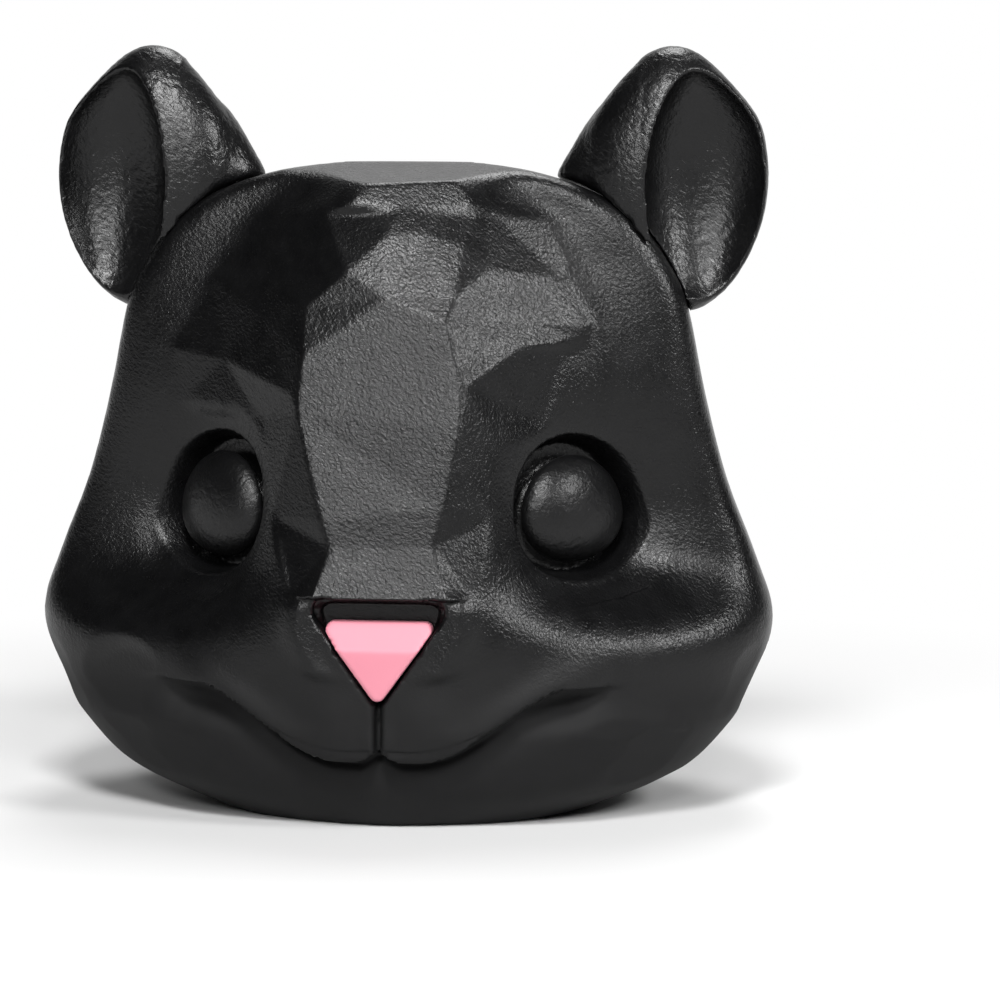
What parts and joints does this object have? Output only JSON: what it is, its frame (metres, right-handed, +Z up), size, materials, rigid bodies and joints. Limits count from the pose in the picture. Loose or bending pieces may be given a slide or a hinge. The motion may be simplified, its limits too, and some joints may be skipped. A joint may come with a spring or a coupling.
{
  "type": "squirrel head feeder",
  "caption": "Hollow black animal-head garden feeder with carved facets, domed eyes, a pink nose and cupped ears, open at the neck, with a lift-out food cup inside and a hanging cord.",
  "frame": {"origin": "on the floor under the middle of the head's box, at the height of the neck rim", "axes": "+Z up, the face towards -Y, +X to the right as seen from the front"},
  "size_m": [0.15, 0.1547, 0.155],
  "materials": {
    "shell": "hammered, semi-matte black",
    "eye": "finely hammered, matte black",
    "nose": "smooth, satin pink",
    "cup": "smooth, matte black",
    "bush": "matte black",
    "steel": "pressed sheet",
    "cord": "braided black"
  },
  "bodies": {
    "head": {"head_shell": "shell", "left_ear": "shell", "right_ear": "shell", "left_eye": "eye", "right_eye": "eye", "nose": "nose", "left_eye_retainer": "steel", "right_eye_retainer": "steel", "nose_retainer": "steel", "left_ear_retainer": "steel", "right_ear_retainer": "steel", "crown_grommet": "bush", "cord_washer": "steel", "cord_knot": "cord", "hanging_cord": "cord", "hanging_ring": "shell"},
    "cup": {"food_cup": "cup"}
  },
  "joints": [
    {"name": "cup_lift", "type": "slide", "parent": "head", "child": "cup", "axis": [0, 0, 1], "range_m": [0, 0.008]}
  ]
}
